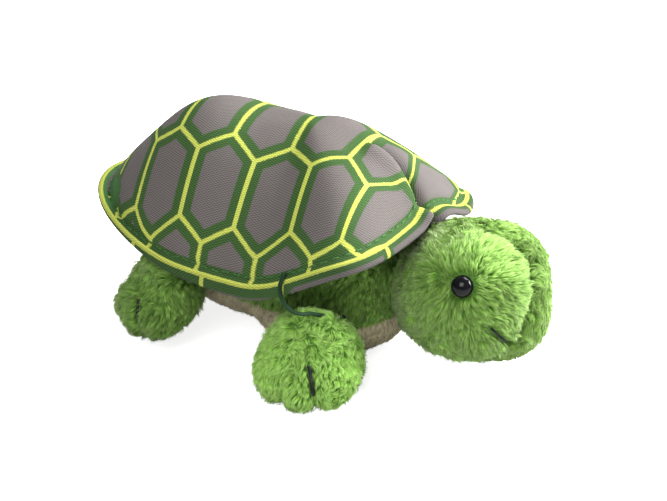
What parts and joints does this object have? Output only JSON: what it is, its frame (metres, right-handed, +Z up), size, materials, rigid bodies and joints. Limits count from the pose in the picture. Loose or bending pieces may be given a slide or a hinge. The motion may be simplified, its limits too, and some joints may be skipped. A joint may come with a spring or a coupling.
{
  "type": "tortoise finger puppet",
  "caption": "Plush tortoise finger puppet with a domed hexagon-patterned shell, a soft turning head, flapping stuffed legs and a finger sleeve that opens at the rear.",
  "frame": {"origin": "on the floor under the middle of the toy's length and width", "axes": "+X towards the head, +Y to the animal's left, +Z up"},
  "size_m": [0.1321, 0.0912, 0.0638],
  "materials": {
    "green_plush": "grass green short-pile plush, combed and slightly tufted",
    "belly_plush": "tan short-pile plush",
    "shell_weave": "woven grey cloth with green bands and lime-yellow hexagon lines",
    "lining_cloth": "plain dark lining cloth",
    "stuffing": "white polyester fibre filling",
    "eye_plastic": "polished black",
    "washer_plastic": "natural white",
    "black_thread": "black embroidery thread",
    "loop_elastic": "dark green round elastic cord"
  },
  "bodies": {
    "body": {"back_panel": "green_plush", "belly_panel": "belly_plush", "body_stuffing": "stuffing", "finger_sleeve": "lining_cloth", "hang_loop": "loop_elastic", "shell_cover": "shell_weave", "shell_lining": "lining_cloth", "shell_wadding": "stuffing"},
    "neck": {"neck_core": "stuffing"},
    "head": {"eye_left": "eye_plastic", "eye_right": "eye_plastic", "eye_washer_left": "washer_plastic", "eye_washer_right": "washer_plastic", "head_panel_left": "green_plush", "head_panel_right": "green_plush", "head_stuffing": "stuffing", "mouth_stitch_left": "black_thread", "mouth_stitch_right": "black_thread"},
    "front_leg_left": {"front_leg_left_claw_inner": "black_thread", "front_leg_left_claw_outer": "black_thread", "front_leg_left_sole": "green_plush", "front_leg_left_stuffing": "stuffing", "front_leg_left_upper": "green_plush"},
    "front_leg_right": {"front_leg_right_claw_inner": "black_thread", "front_leg_right_claw_outer": "black_thread", "front_leg_right_sole": "green_plush", "front_leg_right_stuffing": "stuffing", "front_leg_right_upper": "green_plush"},
    "rear_leg_left": {"rear_leg_left_claw_inner": "black_thread", "rear_leg_left_claw_outer": "black_thread", "rear_leg_left_sole": "green_plush", "rear_leg_left_stuffing": "stuffing", "rear_leg_left_upper": "green_plush"},
    "rear_leg_right": {"rear_leg_right_claw_inner": "black_thread", "rear_leg_right_claw_outer": "black_thread", "rear_leg_right_sole": "green_plush", "rear_leg_right_stuffing": "stuffing", "rear_leg_right_upper": "green_plush"}
  },
  "joints": [
    {"name": "neck_turn", "type": "hinge", "parent": "body", "child": "neck", "pos_m": [0.025, 0, 0.0239], "axis": [0, 0, 1], "range_deg": [-20, 20], "stiffness_Nm_per_rad": 0.03},
    {"name": "head_nod", "type": "hinge", "parent": "neck", "child": "head", "pos_m": [0.025, 0, 0.0239], "axis": [0, 1, 0], "range_deg": [-4, 12], "stiffness_Nm_per_rad": 0.08},
    {"name": "front_leg_left_flap", "type": "hinge", "parent": "body", "child": "front_leg_left", "pos_m": [0.01352, 0.02485, 0.01159], "axis": [0.9781, -0.2079, 0], "range_deg": [-15, 20], "stiffness_Nm_per_rad": 0.01},
    {"name": "front_leg_right_flap", "type": "hinge", "parent": "body", "child": "front_leg_right", "pos_m": [0.01352, -0.02485, 0.01159], "axis": [-0.9781, -0.2079, 0], "range_deg": [-15, 20], "stiffness_Nm_per_rad": 0.01},
    {"name": "rear_leg_left_flap", "type": "hinge", "parent": "body", "child": "rear_leg_left", "pos_m": [-0.0321, 0.02304, 0.01501], "axis": [0.9136, 0.4067, 0], "range_deg": [-15, 20], "stiffness_Nm_per_rad": 0.01},
    {"name": "rear_leg_right_flap", "type": "hinge", "parent": "body", "child": "rear_leg_right", "pos_m": [-0.0321, -0.02304, 0.01501], "axis": [-0.9136, 0.4067, 0], "range_deg": [-15, 20], "stiffness_Nm_per_rad": 0.01}
  ]
}
